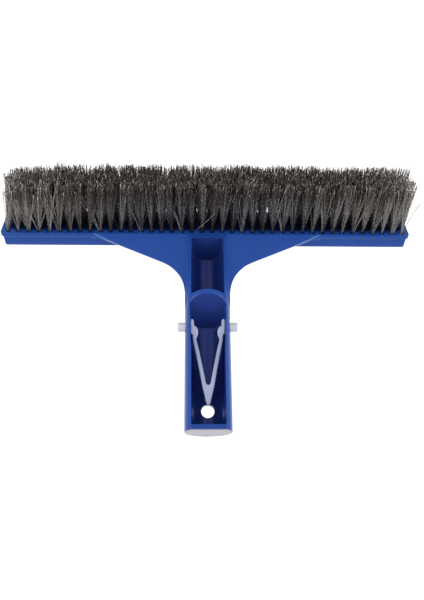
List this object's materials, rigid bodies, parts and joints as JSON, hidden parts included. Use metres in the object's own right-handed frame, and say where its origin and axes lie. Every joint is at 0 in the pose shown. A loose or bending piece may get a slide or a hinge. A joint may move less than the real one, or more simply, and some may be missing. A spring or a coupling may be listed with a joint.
{
  "type": "pool wall brush",
  "caption": "Wide pool wall brush: blue moulded head, web and slotted handle, wire bristle tufts and a pale V-clip whose two snap buttons lock it in a pole.",
  "frame": {"origin": "centre of the handle's end face, on the handle's axis", "axes": "+X across the brush, +Y along the handle towards the head, +Z out of the handle's open side"},
  "size_m": [0.2576, 0.1593, 0.0524],
  "materials": {
    "blue_plastic": "satin moulded plastic, deep blue",
    "pale_plastic": "smooth, slightly translucent grey-white plastic",
    "steel_wire": "fine crimped steel wire, grey-brown"
  },
  "bodies": {
    "root": {"body": "blue_plastic", "v_clip_root": "pale_plastic", "tuft_column_01": "steel_wire", "tuft_column_02": "steel_wire", "tuft_column_03": "steel_wire", "tuft_column_04": "steel_wire", "tuft_column_05": "steel_wire", "tuft_column_06": "steel_wire", "tuft_column_07": "steel_wire", "tuft_column_08": "steel_wire", "tuft_column_09": "steel_wire", "tuft_column_10": "steel_wire", "tuft_column_11": "steel_wire", "tuft_column_12": "steel_wire", "tuft_column_13": "steel_wire", "tuft_column_14": "steel_wire", "tuft_column_15": "steel_wire", "tuft_column_16": "steel_wire", "tuft_column_17": "steel_wire", "tuft_column_18": "steel_wire", "tuft_column_19": "steel_wire", "tuft_column_20": "steel_wire", "tuft_column_21": "steel_wire", "tuft_column_22": "steel_wire", "tuft_column_23": "steel_wire", "tuft_column_24": "steel_wire", "tuft_column_25": "steel_wire", "tuft_column_26": "steel_wire", "tuft_column_27": "steel_wire", "tuft_column_28": "steel_wire", "tuft_column_29": "steel_wire", "tuft_column_30": "steel_wire", "tuft_column_31": "steel_wire", "tuft_column_32": "steel_wire", "tuft_column_33": "steel_wire", "tuft_column_34": "steel_wire", "tuft_column_35": "steel_wire", "tuft_column_36": "steel_wire", "tuft_column_37": "steel_wire", "tuft_column_38": "steel_wire", "tuft_column_39": "steel_wire", "tuft_column_40": "steel_wire"},
    "clip_arm_left": {"v_clip_arm_left": "pale_plastic"},
    "clip_arm_right": {"v_clip_arm_right": "pale_plastic"}
  },
  "joints": [
    {"name": "clip_left", "type": "hinge", "parent": "root", "child": "clip_arm_left", "pos_m": [-0.00245, 0.0286, 0.0011], "axis": [0, 0, -1], "range_deg": [0, 7.4], "stiffness_Nm_per_rad": 0.35},
    {"name": "clip_right", "type": "hinge", "parent": "root", "child": "clip_arm_right", "pos_m": [0.00245, 0.0286, 0.0011], "axis": [0, 0, 1], "range_deg": [0, 7.4], "stiffness_Nm_per_rad": 0.35}
  ]
}
